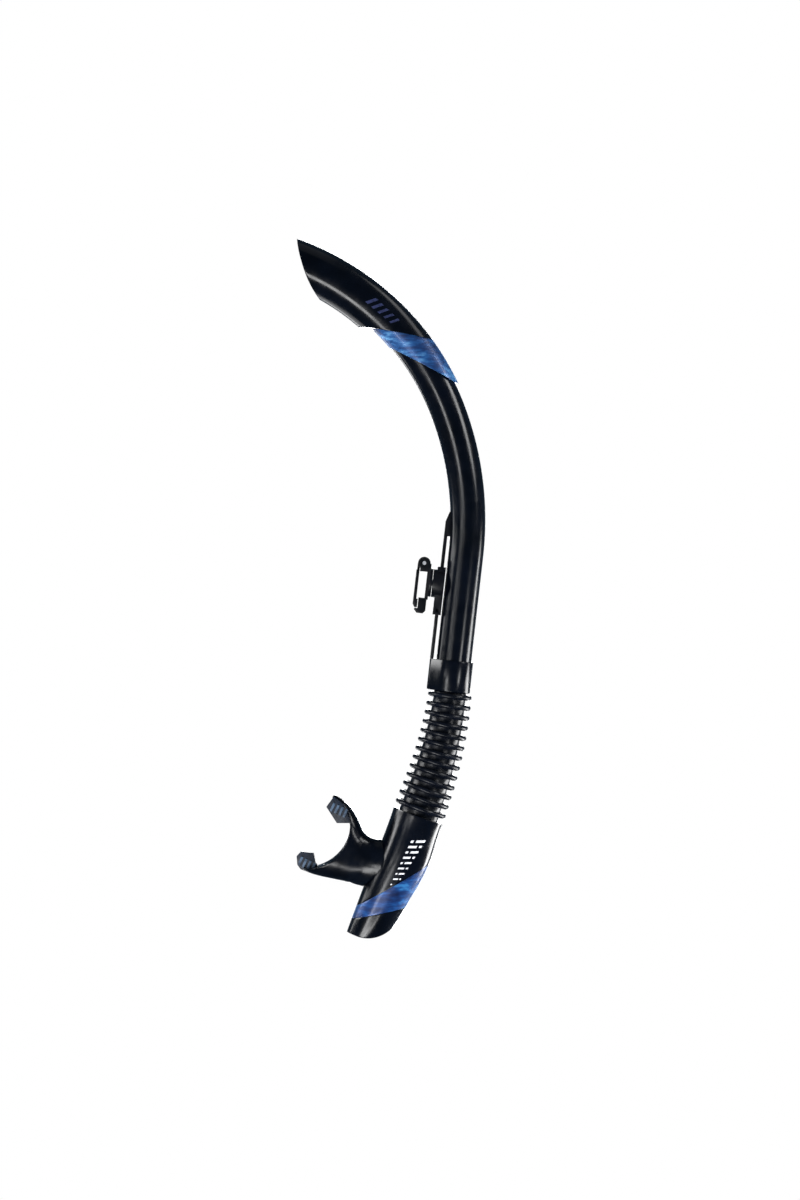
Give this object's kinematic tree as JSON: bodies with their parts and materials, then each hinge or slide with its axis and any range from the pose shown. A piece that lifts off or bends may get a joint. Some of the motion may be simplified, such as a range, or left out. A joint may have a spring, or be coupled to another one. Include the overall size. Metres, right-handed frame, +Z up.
{
  "type": "snorkel",
  "caption": "Adult snorkel with splash guard, corrugated hose, swivelling purge housing, mouthpiece and sliding strap keeper.",
  "frame": {"origin": "centre of the keeper's strap slot", "axes": "+Z up the tube towards the splash guard, +X from the mouthpiece side towards the back of the tube, Y across the tube; the object is mirrored about the XZ plane at rest"},
  "size_m": [0.1207, 0.0338, 0.4467],
  "materials": {
    "black_plastic": "glossy injection-moulded polycarbonate",
    "blue_plastic": "glossy pearl blue moulding",
    "satin_plastic": "satin acetal",
    "black_silicone": "satin moulded silicone",
    "slate_silicone": "matt slate-blue silicone",
    "clear_silicone": "translucent silicone",
    "grey_plastic": "moulded grey acetal",
    "steel": "stainless steel"
  },
  "bodies": {
    "barrel": {"barrel": "black_plastic", "upper_trim_ring": "blue_plastic", "splash_guard": "black_plastic", "splash_baffle": "satin_plastic", "keeper_rail": "satin_plastic", "hose_collar": "black_plastic", "flex_hose": "black_silicone"},
    "cuff": {"swivel_cuff": "satin_plastic", "hose_insert": "grey_plastic", "swivel_seal": "black_silicone"},
    "chamber": {"lower_housing": "black_plastic", "swivel_snap_ring": "grey_plastic", "lower_trim_band": "blue_plastic", "purge_cover": "black_plastic", "purge_seat": "grey_plastic", "mouthpiece": "black_silicone", "bite_tab_upper": "slate_silicone", "bite_tab_lower": "slate_silicone"},
    "purge": {"purge_flap": "clear_silicone"},
    "slider": {"keeper_slider": "satin_plastic", "swivel_rivet": "steel"},
    "loop": {"strap_loop": "satin_plastic", "gate_pin": "steel"},
    "gate": {"strap_gate": "satin_plastic"}
  },
  "joints": [
    {"name": "hose_bend", "type": "hinge", "parent": "barrel", "child": "cuff", "pos_m": [0.0108, 0, -0.1078], "axis": [0, 1, 0], "range_deg": [-25, 30], "stiffness_Nm_per_rad": 1.2, "deforming": ["flex_hose"]},
    {"name": "housing_swivel", "type": "hinge", "parent": "cuff", "child": "chamber", "pos_m": [-0.0022, 0, -0.1476], "axis": [0.3338, 0, 0.9426], "continuous": true},
    {"name": "purge_lift", "type": "slide", "parent": "chamber", "child": "purge", "axis": [0.1987, 0, -0.9801], "range_m": [0, 0.0015], "stiffness_N_per_m": 25, "springref_m": -0.0004},
    {"name": "slider_travel", "type": "slide", "parent": "barrel", "child": "slider", "axis": [0.1132, 0, 0.9936], "range_m": [-0.0274, 0.0196]},
    {"name": "loop_swivel", "type": "hinge", "parent": "slider", "child": "loop", "pos_m": [0.00517, 0, 0.00122], "axis": [0.9936, 0, -0.1132], "continuous": true},
    {"name": "gate_hinge", "type": "hinge", "parent": "loop", "child": "gate", "pos_m": [0.00156, 0, 0.01371], "axis": [0, 1, 0], "range_deg": [0, 75]}
  ]
}
